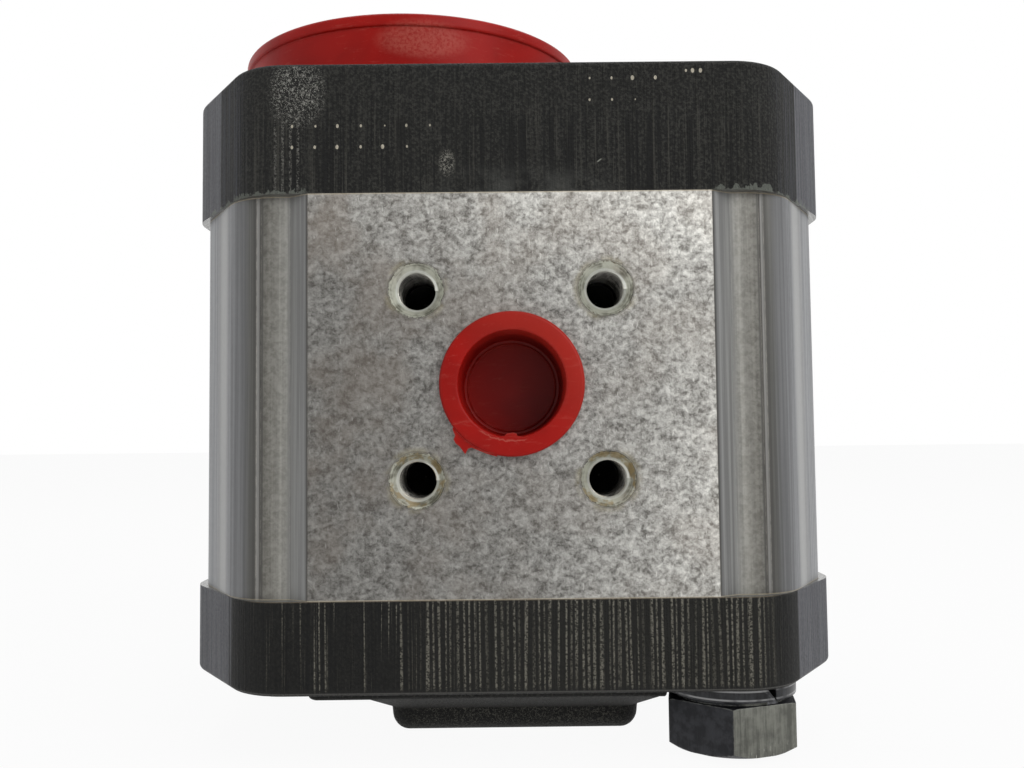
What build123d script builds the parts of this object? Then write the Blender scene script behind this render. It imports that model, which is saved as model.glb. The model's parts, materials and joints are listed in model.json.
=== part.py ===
from build123d import *
import math
import os

# External gear pump. Origin: drive shaft axis on the flange's mounting face.
# +Z runs out along the drive shaft, +X points to the idler gear,
# and the pressure port faces -Y. All sizes are in millimetres.

# Gears
tooth_count = 13
gear_module = 2.5
pressure_angle = math.radians(20)
gear_backlash = 0.15
root_depth_share = 1.25
gear_width = 21.5
gear_side_clearance = 0.03
gear_bore_clearance = 0.06
gear_edge_break = 0.4
flank_steps = 6

gear_spacing = tooth_count * gear_module
pitch_radius = gear_spacing / 2
tip_radius = pitch_radius + gear_module
root_radius = pitch_radius - root_depth_share * gear_module
gear_bore_radius = tip_radius + gear_bore_clearance
middle_x = gear_spacing / 2

# Casing lengths along the shaft
flange_thickness = 17.45
body_length = 52.9
cover_thickness = 12.1
plateau_height = 2.3
boss_skirt_height = 4.4
boss_drop = 10.3

flange_bottom = -flange_thickness
body_bottom = flange_bottom - body_length
cover_bottom = body_bottom - cover_thickness
boss_bottom = cover_bottom - boss_drop
gear_middle = flange_bottom - body_length / 2

# Casing outline around the bolt square, with each corner cut by a slanted flat
bolt_edge_x = 16.0
bolt_edge_y = 12.0
corner_cut_x = 11.5
corner_cut_y = 17.5
corner_blend = 9.0
casting_edge_radius = 0.8
body_side_inset = 1.4
body_front_inset = 1.6
body_corner_cut_x = 8.8
body_corner_cut_y = 15.6
body_corner_blend = 8.0
port_pad_half_width = 26.5
port_pad_side_run = 2.6
side_groove_x = 33.4
side_groove_radius = 0.45

# Rear cover's cast shapes
plateau_inset = 7.0
boss_half_x = 19.0
boss_half_y = 22.8
boss_corner = 3.2
boss_edge_radius = 2.6
boss_skirt_run = 10.0
boss_draft = 6.0

# Through bolts and mounting holes, on a square around the body's middle
bolt_radius = 5.0
bolt_hole_clearance = 0.3
mounting_hole_clearance = 0.5
register_wall = 1.5
body_seal_wall = 4.0
bolt_end_wall = 2.45
bolt_tip_gap = 0.5
bolt_head_flats = 16.8
bolt_head_height = 7.1
bolt_head_turn = 20.0
bolt_tip_chamfer = 0.8
bolt_head_chamfer = 0.8
washer_thickness = 2.3
washer_section = 3.6
washer_clearance = 0.3
washer_split = 1.4
spot_face_margin = 1.9

# Register on the flange, and its ring
pilot_radius = 26.0
pilot_height = 11.0
pilot_edge = 0.8
pilot_recess_floor = 2.6
o_ring_section_radius = 1.3
o_ring_stand_out = 0.15
o_ring_groove_gap = 0.3
register_land = 4.0

# Shafts, bushes and bearing blocks
journal_radius = 9.0
shaft_end_chamfer = 0.8
journal_clearance = 0.03
bush_wall = 2.0
bush_end_gap = 0.3
block_clearance = 0.05
block_back_gap = 0.1
relief_length = 7.0
relief_width = 6.0
relief_depth = 1.5
shaft_hole_clearance = 0.6
shaft_end_room = 2.5
shaft_end_length = 1.5

# Tang and coupling disc
shaft_top = 2.0
tang_side_step = 0.1
tang_thickness = 8.0
tang_height = 4.6
coupling_radius = 18.0
coupling_room = 1.0
coupling_bottom_gap = 0.4
coupling_top_gap = 0.6
coupling_slot_clearance = 0.1
coupling_slot_depth = 3.4
coupling_float = 0.4
coupling_edge = 0.5
centre_drill_radius = 1.6

# Shaft seal and retaining ring
seal_radius = 16.0
seal_height = 7.0
seal_wall = 1.2
seal_lip_clearance = 0.02
seal_lip_height = 3.0
seal_lip_wall = 1.7
garter_section_radius = 0.6
retaining_ring_thickness = 1.2
retaining_ring_depth = 1.0
retaining_ring_reach = 1.8
retaining_ring_gap = 0.1
retaining_ring_opening = 7.0

# Axial seals on the backs of the bearing blocks
axial_seal_margin = 1.3
axial_seal_width = 1.9
axial_seal_end_y = 2.0
backup_width = 1.6
axial_seal_depth = 2.2

# Rings between the casings
body_seal_offset = 1.6
body_seal_width = 2.4
body_seal_depth = 2.0
dowel_radius = 2.5
dowel_length = 10.0
dowel_wall = 1.8
dowel_angle = 41.6
dowel_chamfer = 0.4

# Ports
port_rise = 1.2
pressure_bore_radius = 7.5
pressure_bolt_circle_radius = 17.5
suction_bore_radius = 10.0
suction_bolt_circle_radius = 20.0
tapped_radius = 2.5
tapped_depth = 13.0
tapped_mouth_radius = 3.65
tapped_drill_cone = 1.4

# Plastic plugs in the ports
plug_brim_overlap = 1.9
plug_brim_thickness = 1.5
plug_wall_clearance = 0.08
plug_wall = 0.5
plug_taper = 0.25
plug_depth = 10.5
plug_floor = 1.0
plug_mouth_round = 0.3
plug_brim_round = 0.4

# Plastic cap over the register
cap_skirt_gap = 0.2
cap_ring_clearance = 0.3
cap_wall = 1.3
cap_top_thickness = 1.8
cap_brim_overhang = 0.45
cap_brim_height = 1.9
cap_edge_radius = 0.6
cap_dish_rim = 8.2
cap_dish_depth = 0.6
cap_gate_radius = 1.5
cap_gate_height = 0.4

# Bolt square and casing, as close to the register and the body seals as their walls allow
bolt_hole_radius = bolt_radius + bolt_hole_clearance
mounting_hole_radius = bolt_radius + mounting_hole_clearance
body_seal_reach = gear_bore_radius + body_seal_offset + body_seal_width
bolt_reach = mounting_hole_radius + max(pilot_radius + register_wall, body_seal_reach + body_seal_wall)
bolt_spacing = middle_x + math.sqrt(2 * bolt_reach**2 - middle_x**2)
casing_half_x = bolt_spacing / 2 + bolt_edge_x
casing_half_y = bolt_spacing / 2 + bolt_edge_y
bolt_thread_depth = flange_thickness - bolt_end_wall
washer_bore_radius = bolt_radius + washer_clearance
washer_radius = washer_bore_radius + washer_section
spot_face_radius = washer_radius + spot_face_margin
dowel_reach = body_seal_reach + dowel_wall + dowel_radius
port_level = gear_middle + port_rise

# Levels and radii that follow from the sizes above
tang_top = shaft_top + tang_height
tang_width = 2 * (journal_radius - tang_side_step)
pilot_recess_radius = coupling_radius + coupling_room
coupling_bottom = pilot_recess_floor + coupling_bottom_gap
coupling_top = pilot_height - coupling_top_gap
bush_radius = journal_radius + journal_clearance + bush_wall
garter_ring_radius = journal_radius + seal_lip_wall
axial_seal_outer = gear_bore_radius - axial_seal_margin
axial_seal_inner = axial_seal_outer - axial_seal_width
backup_inner = axial_seal_inner - backup_width
o_ring_stretch_radius = pilot_radius + o_ring_stand_out - o_ring_section_radius
o_ring_groove_half = o_ring_section_radius + o_ring_groove_gap
o_ring_level = register_land + o_ring_groove_half
retaining_ring_bottom = pilot_recess_floor - 2 * retaining_ring_thickness
seal_bottom = retaining_ring_bottom - retaining_ring_gap - seal_height
garter_level = seal_bottom + seal_height - seal_wall - seal_lip_height / 2 - garter_section_radius / 2
cap_skirt_bottom = register_land + cap_skirt_gap
cap_inner_radius = pilot_radius + o_ring_stand_out + cap_ring_clearance
cap_brim_radius = cap_inner_radius + cap_wall + cap_brim_overhang
cap_dish_radius = cap_brim_radius - cap_dish_rim


def ring(outer, inner, bottom, top):
    """A flat ring around the origin's axis, between two levels."""
    solid = disc(outer, bottom, top)
    return solid - disc(inner, bottom - 1, top + 1)


def disc(radius, bottom, top):
    """A round disc around the origin's axis, between two levels."""
    return Pos(0, 0, (bottom + top) / 2) * Cylinder(radius, top - bottom)


def block(x0, x1, y0, y1, z0, z1):
    """A box between two corners."""
    middle = Pos((x0 + x1) / 2, (y0 + y1) / 2, (z0 + z1) / 2)
    return middle * Box(x1 - x0, y1 - y0, z1 - z0)


def prism(sketch, bottom, top):
    """A flat outline drawn around the body's middle, made solid between two levels."""
    return Pos(middle_x, 0, bottom) * extrude(sketch, top - bottom)


def cut_rectangle(half_x, half_y, cut_x, cut_y, blend):
    """A rectangle with slanted corners, blended where each slant begins and ends."""
    points = []
    for side_x, side_y in ((1, 1), (-1, 1), (-1, -1), (1, -1)):
        on_side = (side_x * half_x, side_y * (half_y - cut_y))
        on_front = (side_x * (half_x - cut_x), side_y * half_y)
        points += [on_side, on_front] if side_x == side_y else [on_front, on_side]
    outline = make_face(Polyline(*points, close=True))
    return fillet(outline.vertices(), blend)


def casing_outline():
    return cut_rectangle(casing_half_x, casing_half_y, corner_cut_x, corner_cut_y, corner_blend)


def two_lobes(radius):
    """The figure-eight outline around both shafts, drawn around the body's middle."""
    left = Pos(-gear_spacing / 2, 0) * Circle(radius)
    right = Pos(gear_spacing / 2, 0) * Circle(radius)
    return left + right


def corner_places(diagonal):
    """Two opposite corners of the bolt square: diagonal is -1 for the fitted bolts, 1 for the open holes."""
    half = bolt_spacing / 2
    return [(middle_x + half, diagonal * half), (middle_x - half, -diagonal * half)]


def bolt_places():
    return corner_places(-1)


def mounting_places():
    return corner_places(1)


def corner_holes(bottom, top):
    """The fitted bolts' clearance holes and the open mounting holes."""
    fitted = holes(bolt_places(), bolt_hole_radius, bottom, top)
    return fitted + holes(mounting_places(), mounting_hole_radius, bottom, top)


def holes(places, radius, bottom, top):
    """Upright round holes or pins at several places."""
    return [Pos(x, y, 0) * disc(radius, bottom, top) for x, y in places]


def square_places(circle_radius):
    """Four places on a circle, at the corners of a square."""
    step = circle_radius / math.sqrt(2)
    return [(side_x * step, side_z * step) for side_x in (-1, 1) for side_z in (-1, 1)]


def dowel_places():
    """Two dowels just outside the body seals, each on its own shaft's side."""
    out_x = dowel_reach * math.cos(math.radians(dowel_angle))
    out_y = dowel_reach * math.sin(math.radians(dowel_angle))
    return [(-out_x, -out_y), (gear_spacing + out_x, out_y)]


def body_seal_groove(bottom, top):
    """The figure-eight groove that holds a ring between two casings."""
    outer = prism(two_lobes(body_seal_reach), bottom, top)
    return outer - prism(two_lobes(body_seal_reach - body_seal_width), bottom - 1, top + 1)


def gear_outline():
    """All the teeth's flanks, as one closed outline around the shaft."""
    base_radius = pitch_radius * math.cos(pressure_angle)
    half_tooth = math.pi / (2 * tooth_count) - gear_backlash / (2 * pitch_radius)
    rolled = math.tan(pressure_angle) - pressure_angle
    flank = []
    for step in range(flank_steps + 1):
        radius = base_radius + (tip_radius - base_radius) * step / flank_steps
        angle = math.acos(min(1, base_radius / radius))
        flank.append((radius, half_tooth + rolled - (math.tan(angle) - angle)))
    flank.insert(0, (root_radius, flank[0][1]))
    points = []
    for tooth in range(tooth_count):
        centre = 2 * math.pi * tooth / tooth_count
        rising = [(radius, centre - angle) for radius, angle in flank]
        falling = [(radius, centre + angle) for radius, angle in reversed(flank)]
        points += [(r * math.cos(a), r * math.sin(a)) for r, a in rising + falling]
    return make_face(Polyline(*points, close=True))


def gear(x, turn):
    """One gear, with its tooth tips broken at both ends."""
    bottom = gear_middle - gear_width / 2 + gear_side_clearance
    top = gear_middle + gear_width / 2 - gear_side_clearance
    teeth = Pos(0, 0, bottom) * extrude(gear_outline(), top - bottom)
    blank = disc(tip_radius, bottom, top)
    blank = chamfer(blank.edges().filter_by(GeomType.CIRCLE), gear_edge_break)
    return Pos(x, 0, 0) * Rot(0, 0, turn) * (teeth & blank)


def shaft(x, bottom, top):
    """A plain shaft with both ends chamfered."""
    solid = disc(journal_radius, bottom, top)
    return Pos(x, 0, 0) * chamfer(solid.edges().filter_by(GeomType.CIRCLE), shaft_end_chamfer)


def make_drive_gear():
    bottom = body_bottom - shaft_end_length
    solid = gear(0, 0) + shaft(0, bottom, shaft_top)
    half_width = tang_width / 2
    half_thickness = tang_thickness / 2
    tang = block(-half_width, half_width, -half_thickness, half_thickness, shaft_top - 1, tang_top)
    tang = tang & disc(journal_radius, shaft_top - 1, tang_top)
    solid = solid + tang
    drill = Pos(0, 0, tang_top - centre_drill_radius / 2) * Cone(
        0.1, centre_drill_radius, centre_drill_radius
    )
    return solid - drill


def make_idler_gear():
    bottom = body_bottom - shaft_end_length
    top = flange_bottom + shaft_end_length
    half_pitch = 180 / tooth_count
    return gear(gear_spacing, 180 + half_pitch) + shaft(gear_spacing, bottom, top)


def make_coupling_disc():
    solid = disc(coupling_radius, coupling_bottom, coupling_top)
    solid = chamfer(solid.edges().filter_by(GeomType.CIRCLE), coupling_edge)
    slot_half = tang_thickness / 2 + coupling_slot_clearance
    reach = tang_width / 2 + coupling_float + coupling_slot_clearance
    lower = tang_top + coupling_slot_clearance
    solid = solid - block(-reach, reach, -slot_half, slot_half, coupling_bottom - 1, lower)
    upper = coupling_top - coupling_slot_depth
    half = tang_thickness / 2
    over = coupling_radius + 1
    return solid - block(-half, half, -over, over, upper, coupling_top + 1)


def make_bearing_block(front):
    """The figure-eight block that carries both shafts beside the gears."""
    gear_face = gear_middle + gear_width / 2
    outer_face = flange_bottom - block_back_gap
    solid = prism(two_lobes(gear_bore_radius - block_clearance), gear_face, outer_face)
    for x in (0, gear_spacing):
        solid = solid - Pos(x, 0, 0) * disc(bush_radius, gear_face - 1, outer_face + 1)
    floor = outer_face - axial_seal_depth
    for band in (axial_band(axial_seal_inner, axial_seal_outer), backup_band()):
        solid = solid - Pos(0, 0, floor) * extrude(band, axial_seal_depth + 1)
    for side in (-1, 1):
        centre_y = side * (relief_width / 2 + 1)
        pocket = Pos(middle_x, centre_y, gear_face) * Box(relief_length, relief_width, 2 * relief_depth)
        solid = solid - pocket
    return solid if front else mirrored(solid)


def mirrored(solid):
    """The same piece for the rear end, turned over about the gears' middle plane."""
    return solid.mirror(Plane.XY.offset(gear_middle))


def make_bush(x, front):
    gear_face = gear_middle + gear_width / 2
    bottom = gear_face + bush_end_gap
    top = flange_bottom - block_back_gap - bush_end_gap
    solid = Pos(x, 0, 0) * ring(bush_radius, journal_radius + journal_clearance, bottom, top)
    return solid if front else mirrored(solid)


def half_band(x, inner, outer, side):
    """A ring band around one shaft, on its own side of the body's middle."""
    band = Pos(x, 0) * (Circle(outer) - Circle(inner))
    reach = 2 * gear_spacing
    low = -reach if side < 0 else middle_x
    high = middle_x if side < 0 else reach
    window = Pos((low + high) / 2, (axial_seal_end_y - reach) / 2) * Rectangle(
        high - low, axial_seal_end_y + reach
    )
    return band & window


def axial_band(inner, outer):
    """The outline of the axial seal, like a rounded figure three around both shafts."""
    return half_band(0, inner, outer, -1) + half_band(gear_spacing, inner, outer, 1)


def backup_band():
    return axial_band(backup_inner, axial_seal_inner)


def make_axial_ring(band, front):
    outer_face = flange_bottom
    floor = flange_bottom - block_back_gap - axial_seal_depth
    solid = Pos(0, 0, floor) * extrude(band, outer_face - floor)
    return solid if front else mirrored(solid)


def make_body_seal(front):
    solid = body_seal_groove(flange_bottom, flange_bottom + body_seal_depth)
    return solid if front else mirrored(solid)


def make_dowel_pins(front):
    pins = []
    for x, y in dowel_places():
        pin = disc(dowel_radius, flange_bottom - dowel_length / 2, flange_bottom + dowel_length / 2)
        pin = chamfer(pin.edges().filter_by(GeomType.CIRCLE), dowel_chamfer)
        pin = Pos(x, y, 0) * pin
        pins.append(pin if front else mirrored(pin))
    return pins


def dowel_holes(level):
    reach = dowel_length / 2
    return holes(dowel_places(), dowel_radius, level - reach, level + reach)


def make_front_flange():
    solid = prism(casing_outline(), flange_bottom, 0)
    solid = fillet(solid.edges().group_by(Axis.Z)[-1], casting_edge_radius)
    pilot = disc(pilot_radius, -1, pilot_height)
    pilot = chamfer(pilot.edges().group_by(Axis.Z)[-1], pilot_edge)
    solid = solid + pilot
    groove_floor = o_ring_stretch_radius - o_ring_section_radius
    solid = solid - ring(
        pilot_radius + 1, groove_floor, register_land, register_land + 2 * o_ring_groove_half
    )
    solid = solid - disc(pilot_recess_radius, pilot_recess_floor, pilot_height + 1)
    solid = solid - disc(seal_radius, seal_bottom, pilot_recess_floor + 1)
    ring_top = retaining_ring_bottom + retaining_ring_thickness + retaining_ring_gap
    solid = solid - disc(seal_radius + retaining_ring_depth, retaining_ring_bottom, ring_top)
    shaft_hole = journal_radius + shaft_hole_clearance
    solid = solid - disc(shaft_hole, flange_bottom - 1, seal_bottom + 1)
    solid = solid - Pos(gear_spacing, 0, 0) * disc(
        shaft_hole, flange_bottom - 1, flange_bottom + shaft_end_room
    )
    solid = solid - body_seal_groove(flange_bottom, flange_bottom + body_seal_depth)
    solid = solid - holes(mounting_places(), mounting_hole_radius, flange_bottom - 1, 1)
    solid = solid - holes(bolt_places(), bolt_radius, flange_bottom - 1, flange_bottom + bolt_thread_depth)
    return solid - dowel_holes(flange_bottom)


def tapped_hole(x, z, side):
    """A tapped port hole, with its drill cone and its countersunk mouth."""
    drill = Cylinder(tapped_radius, tapped_depth, align=(Align.CENTER, Align.CENTER, Align.MIN))
    cone = Pos(0, 0, tapped_depth) * Cone(
        tapped_radius, 0.05, tapped_drill_cone, align=(Align.CENTER, Align.CENTER, Align.MIN)
    )
    mouth_depth = tapped_mouth_radius - tapped_radius
    mouth = Cone(
        tapped_mouth_radius, tapped_radius, mouth_depth, align=(Align.CENTER, Align.CENTER, Align.MIN)
    )
    return facing(x, z, side) * (drill + cone + mouth)


def facing(x, z, side):
    """A place on a port face, with its own Z pointing into the body."""
    into_body = Rot(90, 0, 0) if side > 0 else Rot(-90, 0, 0)
    return Pos(middle_x + x, side * casing_half_y, z) * into_body


def make_pump_body():
    inner_x = casing_half_x - body_side_inset
    inner_y = casing_half_y - body_front_inset
    outline = cut_rectangle(
        inner_x, inner_y, body_corner_cut_x, body_corner_cut_y, body_corner_blend
    )
    solid = prism(outline, body_bottom, flange_bottom)
    foot = port_pad_half_width + port_pad_side_run
    for side in (-1, 1):
        pad = Polyline(
            (-foot, side * inner_y),
            (-port_pad_half_width, side * casing_half_y),
            (port_pad_half_width, side * casing_half_y),
            (foot, side * inner_y),
            (foot, 0),
            (-foot, 0),
            close=True,
        )
        solid = solid + prism(make_face(pad), body_bottom, flange_bottom)
        for side_x in (-1, 1):
            place = Pos(middle_x + side_x * side_groove_x, side * inner_y, 0)
            solid = solid - place * disc(side_groove_radius, body_bottom - 1, flange_bottom + 1)
    solid = solid - prism(two_lobes(gear_bore_radius), body_bottom - 1, flange_bottom + 1)
    solid = solid - facing(0, port_level, -1) * Cylinder(
        pressure_bore_radius, casing_half_y, align=(Align.CENTER, Align.CENTER, Align.MIN)
    )
    solid = solid - facing(0, port_level, 1) * Cylinder(
        suction_bore_radius, casing_half_y, align=(Align.CENTER, Align.CENTER, Align.MIN)
    )
    for x, z in square_places(pressure_bolt_circle_radius):
        solid = solid - tapped_hole(x, port_level + z, -1)
    for x, z in square_places(suction_bolt_circle_radius):
        solid = solid - tapped_hole(x, port_level + z, 1)
    solid = solid - corner_holes(body_bottom - 1, flange_bottom + 1)
    return solid - dowel_holes(flange_bottom) - dowel_holes(body_bottom)


def boss_outline(grown):
    """The boss's outline at its root, moved outwards by a distance."""
    outline = Rectangle(2 * (boss_half_x + grown), 2 * (boss_half_y + grown))
    return fillet(outline.vertices(), boss_corner + grown)


def make_boss():
    """The cast boss on the cover's back, drafted, with a sloping skirt at its foot."""
    root = Pos(middle_x, 0, cover_bottom) * boss_outline(0)
    boss = extrude(root, amount=boss_drop, dir=(0, 0, -1), taper=boss_draft)
    boss = fillet(boss.edges().group_by(Axis.Z)[0], boss_edge_radius)
    skirt_top = cover_bottom - plateau_height
    skirt_end = skirt_top - boss_skirt_height
    drawn_in = (cover_bottom - skirt_end) * math.tan(math.radians(boss_draft))
    narrow = Pos(middle_x, 0, skirt_end) * boss_outline(-drawn_in)
    wide = Pos(middle_x, 0, skirt_top) * boss_outline(boss_skirt_run)
    return boss + loft([narrow, wide])


def make_rear_cover():
    solid = prism(casing_outline(), cover_bottom, body_bottom)
    solid = fillet(solid.edges().group_by(Axis.Z)[0], casting_edge_radius)
    plateau = cut_rectangle(
        casing_half_x - plateau_inset,
        casing_half_y - plateau_inset,
        corner_cut_x - plateau_inset / 2,
        corner_cut_y - plateau_inset / 2,
        corner_blend - plateau_inset / 2,
    )
    plateau = prism(plateau, cover_bottom - plateau_height, cover_bottom)
    plateau = fillet(plateau.edges().group_by(Axis.Z)[0], casting_edge_radius)
    solid = solid + plateau + make_boss()
    solid = solid - holes(bolt_places(), spot_face_radius, boss_bottom, cover_bottom)
    solid = solid - holes(mounting_places(), spot_face_radius, boss_bottom, cover_bottom - plateau_height)
    for x in (0, gear_spacing):
        room = disc(journal_radius + shaft_hole_clearance, body_bottom - shaft_end_room, body_bottom + 1)
        solid = solid - Pos(x, 0, 0) * room
    solid = solid - mirrored(body_seal_groove(flange_bottom, flange_bottom + body_seal_depth))
    solid = solid - corner_holes(boss_bottom, body_bottom + 1)
    return solid - dowel_holes(body_bottom)


def make_through_bolt(x, y):
    seat = cover_bottom - washer_thickness
    tip = flange_bottom + bolt_thread_depth - bolt_tip_gap
    shank = disc(bolt_radius, seat - 1, tip)
    shank = chamfer(shank.edges().group_by(Axis.Z)[-1], bolt_tip_chamfer)
    corner_radius = bolt_head_flats / math.sqrt(3)
    outline = Rot(0, 0, bolt_head_turn) * RegularPolygon(corner_radius, 6)
    head = Pos(0, 0, seat - bolt_head_height) * extrude(outline, bolt_head_height)
    rounding = disc(corner_radius, seat - bolt_head_height, seat)
    rounding = chamfer(rounding.edges().filter_by(GeomType.CIRCLE), bolt_head_chamfer)
    return Pos(x, y, 0) * (shank + (head & rounding))


def make_through_bolts():
    return [make_through_bolt(x, y) for x, y in bolt_places()]


def make_spring_washers():
    washers = []
    for x, y in bolt_places():
        solid = ring(washer_radius, washer_bore_radius, cover_bottom - washer_thickness, cover_bottom)
        cut_length = washer_radius - washer_bore_radius + 2
        split = Pos((washer_radius + washer_bore_radius) / 2, 0, cover_bottom - washer_thickness / 2) * Box(
            cut_length, washer_split, washer_thickness + 1
        )
        washers.append(Pos(x, y, 0) * (solid - split))
    return washers


def make_shaft_seal():
    """The lip seal: a case pressed in the flange, and a lip that runs on the shaft."""
    top = seal_bottom + seal_height
    lip_radius = journal_radius + seal_lip_clearance
    case = ring(seal_radius, seal_radius - seal_wall, seal_bottom, top)
    web = ring(seal_radius, lip_radius, top - seal_wall, top)
    lip = ring(garter_ring_radius, lip_radius, top - seal_wall - seal_lip_height, top)
    groove = Pos(0, 0, garter_level) * Torus(garter_ring_radius, garter_section_radius)
    return case + web + lip - groove


def make_garter_spring():
    return Pos(0, 0, garter_level) * Torus(garter_ring_radius, garter_section_radius)


def make_retaining_ring():
    outer = seal_radius + retaining_ring_depth
    bottom = retaining_ring_bottom
    solid = ring(outer, seal_radius - retaining_ring_reach, bottom, bottom + retaining_ring_thickness)
    half = retaining_ring_opening / 2
    return solid - block(-half, half, -outer - 1, 0, bottom - 1, pilot_recess_floor)


def make_pilot_o_ring():
    return Pos(0, 0, o_ring_level) * Torus(o_ring_stretch_radius, o_ring_section_radius)


def make_pilot_cap():
    top = pilot_height + cap_top_thickness
    solid = disc(cap_inner_radius + cap_wall, cap_skirt_bottom, top)
    brim = disc(cap_brim_radius, top - cap_brim_height, top)
    brim = fillet(brim.edges().filter_by(GeomType.CIRCLE), cap_edge_radius)
    solid = solid + brim - disc(cap_inner_radius, cap_skirt_bottom - 1, pilot_height)
    solid = solid - disc(cap_dish_radius, top - cap_dish_depth, top + 1)
    return solid + disc(cap_gate_radius, top - cap_dish_depth - 0.1, top - cap_dish_depth + cap_gate_height)


def make_port_plug(bore_radius, side):
    """A hollow plastic plug: a brim on the port pad and a thin cup in the bore."""
    outer = bore_radius - plug_wall_clearance
    inner = outer - plug_wall
    brim = bore_radius + plug_brim_overlap
    end = plug_depth - plug_brim_thickness + plug_floor
    cup_end = outer - plug_taper
    solid = Cone(outer, cup_end, end, align=(Align.CENTER, Align.CENTER, Align.MIN))
    lip = Cylinder(brim, plug_brim_thickness, align=(Align.CENTER, Align.CENTER, Align.MAX))
    lip = fillet(lip.edges().group_by(Axis.Z)[0], plug_brim_round)
    solid = solid + lip
    hollow = Pos(0, 0, -plug_brim_thickness) * Cone(
        inner, inner - plug_taper, plug_depth, align=(Align.CENTER, Align.CENTER, Align.MIN)
    )
    mouth = Pos(0, 0, -plug_brim_thickness) * Cone(
        inner + plug_mouth_round, inner, plug_mouth_round, align=(Align.CENTER, Align.CENTER, Align.MIN)
    )
    return facing(0, port_level, side) * (solid - hollow - mouth)


def write(name, shape):
    """One STEP file for each node; a group of equal pieces is one compound."""
    if isinstance(shape, list):
        shape = Compound(children=shape)
    export_step(shape, f"parts/{name}.step")


def main():
    os.makedirs("parts", exist_ok=True)
    write("front_flange", make_front_flange())
    write("pump_body", make_pump_body())
    write("rear_cover", make_rear_cover())
    write("drive_gear", make_drive_gear())
    write("idler_gear", make_idler_gear())
    write("coupling_disc", make_coupling_disc())
    for end, front in (("front", True), ("rear", False)):
        write(f"{end}_bearing_block", make_bearing_block(front))
        write(f"{end}_drive_bush", make_bush(0, front))
        write(f"{end}_idler_bush", make_bush(gear_spacing, front))
        write(f"{end}_pressure_seal", make_axial_ring(axial_band(axial_seal_inner, axial_seal_outer), front))
        write(f"{end}_backup_strips", make_axial_ring(backup_band(), front))
        write(f"{end}_body_seal", make_body_seal(front))
        write(f"{end}_dowel_pins", make_dowel_pins(front))
    write("through_bolts", make_through_bolts())
    write("spring_washers", make_spring_washers())
    write("shaft_seal", make_shaft_seal())
    write("seal_garter_spring", make_garter_spring())
    write("seal_retaining_ring", make_retaining_ring())
    write("pilot_o_ring", make_pilot_o_ring())
    write("pilot_cap", make_pilot_cap())
    write("pressure_port_plug", make_port_plug(pressure_bore_radius, -1))
    write("suction_port_plug", make_port_plug(suction_bore_radius, 1))


main()
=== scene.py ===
import bpy
import json
import math
from mathutils import Matrix, Vector


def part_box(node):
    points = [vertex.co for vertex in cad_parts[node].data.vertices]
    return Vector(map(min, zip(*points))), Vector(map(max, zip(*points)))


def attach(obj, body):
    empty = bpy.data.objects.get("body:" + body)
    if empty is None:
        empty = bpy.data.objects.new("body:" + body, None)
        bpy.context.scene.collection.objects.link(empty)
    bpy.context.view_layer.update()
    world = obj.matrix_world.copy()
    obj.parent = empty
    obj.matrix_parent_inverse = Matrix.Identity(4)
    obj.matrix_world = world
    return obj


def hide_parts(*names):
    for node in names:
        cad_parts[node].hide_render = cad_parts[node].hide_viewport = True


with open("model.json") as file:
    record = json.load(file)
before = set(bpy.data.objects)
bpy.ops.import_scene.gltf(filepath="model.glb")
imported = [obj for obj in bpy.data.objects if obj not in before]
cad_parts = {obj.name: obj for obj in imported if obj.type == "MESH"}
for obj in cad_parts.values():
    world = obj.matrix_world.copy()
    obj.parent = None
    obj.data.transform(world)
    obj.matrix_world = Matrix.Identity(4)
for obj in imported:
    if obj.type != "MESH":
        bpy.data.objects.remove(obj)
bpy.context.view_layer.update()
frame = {"nodes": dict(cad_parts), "record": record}
nodes = frame["nodes"]
record = frame["record"]
mm = 0.001
print("frame loaded:", len(nodes), "nodes")


# Camera at the photograph's viewing angle
camera = {
    "place": (15.74, -171.0, -49.8),   # mm
    "lens": 35.04,                     # mm
    "sensor": 36.0,                    # mm across
    "nearest": 0.01,                   # metres: nothing closer is drawn
    "pitch": 3.15,                     # degrees up
    "turn": 0.23,                      # degrees to the right
    "roll": 0.63,                      # degrees clockwise
}


def makeCamera():
    data = bpy.data.cameras.new("photoCamera")
    data.lens = camera["lens"]
    data.sensor_width = camera["sensor"]
    data.clip_start = camera["nearest"]
    viewer = bpy.data.objects.new("photoCamera", data)
    bpy.context.scene.collection.objects.link(viewer)
    turned = Matrix.Rotation(math.radians(-camera["turn"]), 4, 'Z')
    pitched = Matrix.Rotation(math.radians(90 + camera["pitch"]), 4, 'X')
    rolled = Matrix.Rotation(math.radians(-camera["roll"]), 4, 'Z')
    viewer.matrix_world = Matrix.Translation(Vector(camera["place"]) * mm) @ turned @ pitched @ rolled
    bpy.context.scene.camera = viewer


makeCamera()
bpy.context.scene.view_settings.view_transform = 'Standard'


# Mesh helpers: every piece is modelled around the world's origin, in metres
smoothAngle = 32.0   # degrees: sharper edges stay sharp
touching = 1e-6      # metres


def clearSelection():
    if bpy.context.object and bpy.context.object.mode != 'OBJECT':
        bpy.ops.object.mode_set(mode='OBJECT')
    bpy.ops.object.select_all(action='DESELECT')


def pickOnly(piece):
    clearSelection()
    piece.select_set(True)
    bpy.context.view_layer.objects.active = piece


def selectVertices(piece, wanted):
    # leaves edit mode to read the mesh, and comes back with the wanted vertices selected
    bpy.ops.object.mode_set(mode='OBJECT')
    mesh = piece.data
    for items in (mesh.vertices, mesh.edges, mesh.polygons):
        items.foreach_set("select", [False] * len(items))
    for vertex in mesh.vertices:
        vertex.select = wanted(vertex.co)
    bpy.ops.object.mode_set(mode='EDIT')
    bpy.ops.mesh.select_mode(type='VERT')


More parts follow.
